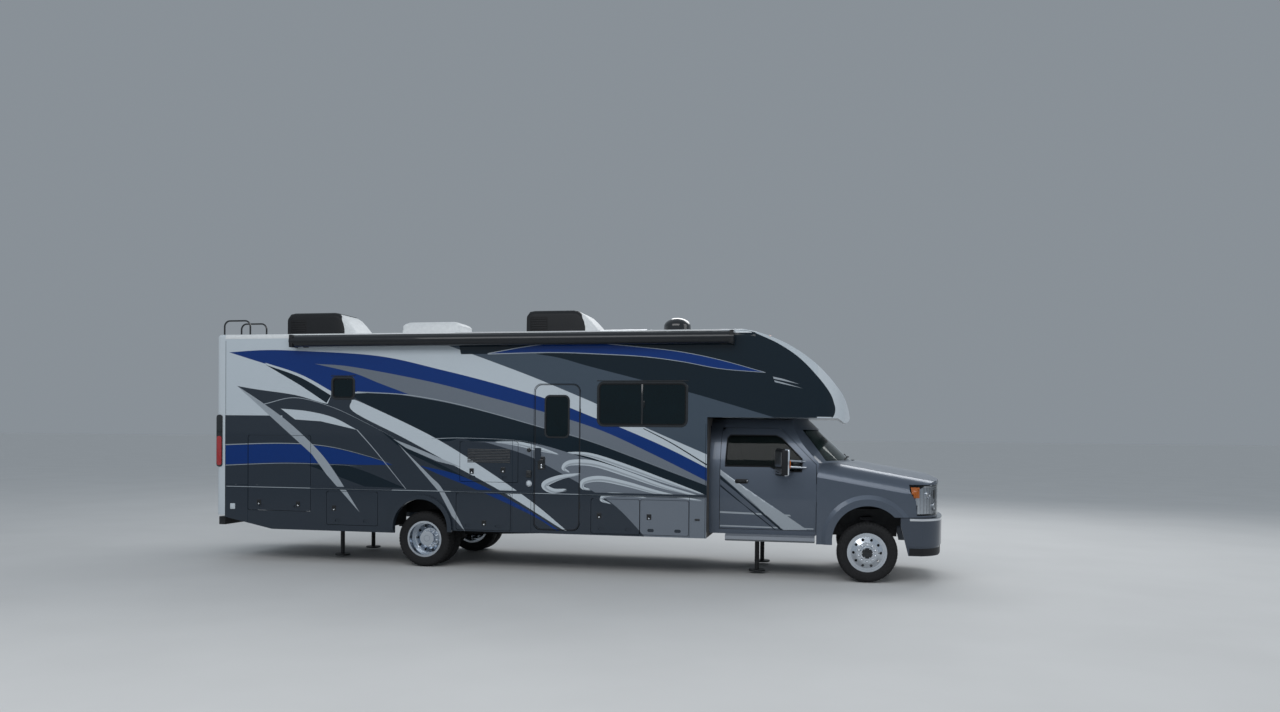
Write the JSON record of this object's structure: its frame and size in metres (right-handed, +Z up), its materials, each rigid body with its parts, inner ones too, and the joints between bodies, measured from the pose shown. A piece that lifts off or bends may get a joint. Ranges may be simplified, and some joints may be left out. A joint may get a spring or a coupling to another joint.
{
  "type": "motorhome",
  "caption": "Cab-over-bed motorhome on a heavy pickup chassis, with an opening entry door, luggage doors, hood and cab doors, a slide-out room, levelling jacks and twin rear wheels.",
  "frame": {"origin": "centre of the bounding box on the ground under the tyres", "axes": "+X forwards along the vehicle, +Y to the driver's left, +Z up"},
  "size_m": [10.6848, 2.9106, 3.8099],
  "materials": {
    "coach_paint": "gloss",
    "cab_paint": "gloss",
    "moulding_white": "gloss",
    "roof_white": "satin",
    "black_plastic": "satin",
    "steel_black": "satin",
    "cast": "rough",
    "bright_steel": "brushed",
    "chrome_trim": "polished",
    "alloy": "polished",
    "rubber_tyre": "moulded",
    "tinted_glass": "clear",
    "lamp_lens": "clear",
    "red_lens": "clear",
    "floor_board": "satin",
    "bay_liner": "satin",
    "seat_cover": "soft",
    "awning_cloth": "matt"
  },
  "bodies": {
    "vehicle": {"left_wall": "coach_paint", "right_wall": "coach_paint", "roof": "roof_white", "rear_cap": "moulding_white", "nose_cap": "moulding_white", "coach_floor": "floor_board", "luggage_bays": "bay_liner", "chassis_frame": "steel_black", "rear_axle": "cast", "front_axle": "cast", "engine_block": "cast", "driveshaft": "cast", "exhaust": "bright_steel", "tanks": "black_plastic", "cab_shell": "cab_paint", "windscreen": "tinted_glass", "dashboard": "black_plastic", "seats": "seat_cover", "wings": "cab_paint", "headlamps": "lamp_lens", "grille": "chrome_trim", "front_bumper": "chrome_trim", "running_boards": "chrome_trim", "coach_windows": "tinted_glass", "awning": "awning_cloth", "roof_units": "roof_white", "ladder": "bright_steel", "rear_bumper": "steel_black", "tail_lamps": "red_lens"},
    "right_cab_door_group": {"right_cab_door": "cab_paint", "right_door_glass": "tinted_glass"},
    "right_steered": {"right_knuckle": "cast"},
    "right_front_wheel": {"right_front_rim": "alloy", "right_front_tyre": "rubber_tyre"},
    "right_rear_wheels": {"right_rear_rims": "alloy", "right_rear_tyres": "rubber_tyre"},
    "right_front_jack": {"right_front_jack_leg": "steel_black"},
    "right_rear_jack": {"right_rear_jack_leg": "steel_black"},
    "left_cab_door_group": {"left_cab_door": "cab_paint", "left_door_glass": "tinted_glass"},
    "left_steered": {"left_knuckle": "cast"},
    "left_front_wheel": {"left_front_rim": "alloy", "left_front_tyre": "rubber_tyre"},
    "left_rear_wheels": {"left_rear_rims": "alloy", "left_rear_tyres": "rubber_tyre"},
    "left_front_jack": {"left_front_jack_leg": "steel_black"},
    "left_rear_jack": {"left_rear_jack_leg": "steel_black"},
    "entry_door_group": {"entry_door": "coach_paint", "entry_door_glass": "tinted_glass"},
    "tall_bay_door_group": {"tall_bay_door": "coach_paint"},
    "rear_bay_door_group": {"rear_bay_door": "coach_paint"},
    "middle_bay_door_group": {"middle_bay_door": "coach_paint"},
    "side_hatch_group": {"side_hatch": "coach_paint"},
    "step_bay_door_group": {"step_bay_door": "coach_paint"},
    "front_bay_door_group": {"front_bay_door": "coach_paint"},
    "left_bay_door_group": {"left_bay_door": "coach_paint"},
    "hood_group": {"hood": "cab_paint"},
    "slide_out": {"slide_room": "coach_paint"},
    "steering_wheel_group": {"steering_wheel": "black_plastic"},
    "tie_rod_group": {"tie_rod": "cast"}
  },
  "joints": [
    {"name": "right_steer", "type": "hinge", "parent": "vehicle", "child": "right_steered", "pos_m": [4.3075, -0.79, 0.402], "axis": [0, 0, 1], "range_deg": [-32, 32]},
    {"name": "left_steer", "type": "hinge", "parent": "vehicle", "child": "left_steered", "pos_m": [4.3075, 0.79, 0.402], "axis": [0, 0, 1], "range_deg": [-32, 32]},
    {"name": "tie_rod_pivot", "type": "hinge", "parent": "right_steered", "child": "tie_rod_group", "pos_m": [4.0925, -0.79, 0.33], "axis": [0, 0, 1], "range_deg": [-32, 32]},
    {"name": "right_front_roll", "type": "hinge", "parent": "right_steered", "child": "right_front_wheel", "pos_m": [4.3075, -0.95, 0.402], "axis": [0, 1, 0], "continuous": true},
    {"name": "left_front_roll", "type": "hinge", "parent": "left_steered", "child": "left_front_wheel", "pos_m": [4.3075, 0.95, 0.402], "axis": [0, 1, 0], "continuous": true},
    {"name": "right_rear_roll", "type": "hinge", "parent": "vehicle", "child": "right_rear_wheels", "pos_m": [-1.9405, -0.94, 0.402], "axis": [0, 1, 0], "continuous": true},
    {"name": "left_rear_roll", "type": "hinge", "parent": "vehicle", "child": "left_rear_wheels", "pos_m": [-1.9405, 0.94, 0.402], "axis": [0, 1, 0], "continuous": true},
    {"name": "steering_wheel_turn", "type": "hinge", "parent": "vehicle", "child": "steering_wheel_group", "pos_m": [3.1775, 0.48, 1.4], "axis": [-0.8829, 0, 0.4695], "range_deg": [-544, 544]},
    {"name": "right_cab_door_hinge", "type": "hinge", "parent": "vehicle", "child": "right_cab_door_group", "pos_m": [3.6322, -1.016, 1.18], "axis": [0, 0, 1], "range_deg": [0, 65]},
    {"name": "left_cab_door_hinge", "type": "hinge", "parent": "vehicle", "child": "left_cab_door_group", "pos_m": [3.6322, 1.016, 1.18], "axis": [0, 0, -1], "range_deg": [0, 65]},
    {"name": "entry_door_hinge", "type": "hinge", "parent": "vehicle", "child": "entry_door_group", "pos_m": [0.4102, -1.283, 1.618], "axis": [0, 0, 1], "range_deg": [0, 90]},
    {"name": "tall_bay_door_hinge", "type": "hinge", "parent": "vehicle", "child": "tall_bay_door_group", "pos_m": [-4.19, -1.283, 1.8787], "axis": [-1, 0, 0], "range_deg": [0, 90]},
    {"name": "rear_bay_door_hinge", "type": "hinge", "parent": "vehicle", "child": "rear_bay_door_group", "pos_m": [-3.0175, -1.283, 1.0697], "axis": [-1, 0, 0], "range_deg": [0, 90]},
    {"name": "middle_bay_door_hinge", "type": "hinge", "parent": "vehicle", "child": "middle_bay_door_group", "pos_m": [-1.002, -1.283, 1.0867], "axis": [-1, 0, 0], "range_deg": [0, 90]},
    {"name": "side_hatch_hinge", "type": "hinge", "parent": "vehicle", "child": "side_hatch_group", "pos_m": [-0.9225, -1.283, 1.8247], "axis": [-1, 0, 0], "range_deg": [0, 90]},
    {"name": "step_bay_door_hinge", "type": "hinge", "parent": "vehicle", "child": "step_bay_door_group", "pos_m": [0.9145, -1.283, 1.0527], "axis": [-1, 0, 0], "range_deg": [0, 90]},
    {"name": "front_bay_door_hinge", "type": "hinge", "parent": "vehicle", "child": "front_bay_door_group", "pos_m": [1.601, -1.283, 1.0527], "axis": [-1, 0, 0], "range_deg": [0, 90]},
    {"name": "left_bay_door_hinge", "type": "hinge", "parent": "vehicle", "child": "left_bay_door_group", "pos_m": [1.2545, 1.283, 1.0527], "axis": [1, 0, 0], "range_deg": [0, 90]},
    {"name": "hood_hinge", "type": "hinge", "parent": "vehicle", "child": "hood_group", "pos_m": [3.8675, 0, 1.55502], "axis": [0, -1, 0], "range_deg": [0, 45]},
    {"name": "slide_out_travel", "type": "slide", "parent": "vehicle", "child": "slide_out", "axis": [0, 1, 0], "range_m": [0, 0.61]},
    {"name": "right_front_jack_extend", "type": "slide", "parent": "vehicle", "child": "right_front_jack", "axis": [0, 0, 1], "range_m": [0, 0.33]},
    {"name": "right_rear_jack_extend", "type": "slide", "parent": "vehicle", "child": "right_rear_jack", "axis": [0, 0, 1], "range_m": [0, 0.33]},
    {"name": "left_front_jack_extend", "type": "slide", "parent": "vehicle", "child": "left_front_jack", "axis": [0, 0, 1], "range_m": [0, 0.33]},
    {"name": "left_rear_jack_extend", "type": "slide", "parent": "vehicle", "child": "left_rear_jack", "axis": [0, 0, 1], "range_m": [0, 0.33]}
  ],
  "couplings": [
    {"joint": "left_steer", "follows": "right_steer", "ratio": 1},
    {"joint": "tie_rod_pivot", "follows": "right_steer", "ratio": -1},
    {"joint": "steering_wheel_turn", "follows": "right_steer", "ratio": 17}
  ]
}
